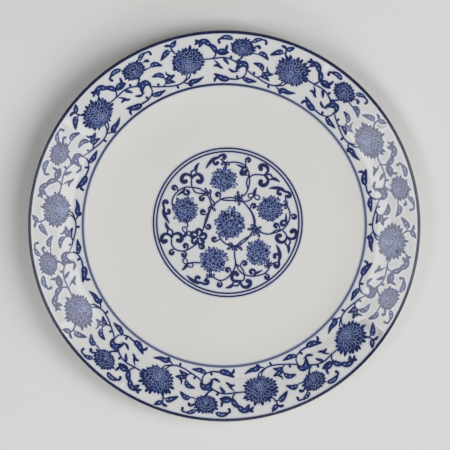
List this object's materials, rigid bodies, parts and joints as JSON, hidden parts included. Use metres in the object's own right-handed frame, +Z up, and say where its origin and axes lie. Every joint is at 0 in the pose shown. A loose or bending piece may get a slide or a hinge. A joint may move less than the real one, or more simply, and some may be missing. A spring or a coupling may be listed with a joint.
{
  "type": "dinner plate",
  "caption": "Round porcelain dinner plate with a shallow well, a sloping rim and a foot ring, printed in cobalt blue with a border of scrolling flowers and a ringed flower medallion.",
  "frame": {"origin": "centre of the foot ring's bearing face, on the table", "axes": "+Z up out of the plate's face, along its turning axis; +Y towards the medallion's top flower"},
  "size_m": [0.267, 0.267, 0.0189],
  "materials": {
    "bare_porcelain": "matte unglazed porcelain, bare on the foot ring's bearing face",
    "clear_glaze": "glossy clear glaze over white porcelain",
    "cobalt_line": "glossy dark cobalt line",
    "cobalt_print": "glossy cobalt print with lighter and darker passages",
    "cobalt_wash": "glossy pale cobalt wash"
  },
  "bodies": {
    "root": {"porcelain_body": "bare_porcelain", "face_glaze": "clear_glaze", "back_glaze": "clear_glaze", "foot_recess_glaze": "clear_glaze", "lip_band": "cobalt_line", "verge_line": "cobalt_line", "border_print_01": "cobalt_print", "border_print_02": "cobalt_print", "border_print_03": "cobalt_print", "border_print_04": "cobalt_print", "border_print_05": "cobalt_print", "border_print_06": "cobalt_print", "border_print_07": "cobalt_print", "border_print_08": "cobalt_print", "border_print_09": "cobalt_print", "border_print_10": "cobalt_print", "medallion_outer_line": "cobalt_line", "medallion_wash": "cobalt_wash", "medallion_inner_line": "cobalt_line", "medallion_print": "cobalt_print"}
  },
  "joints": []
}
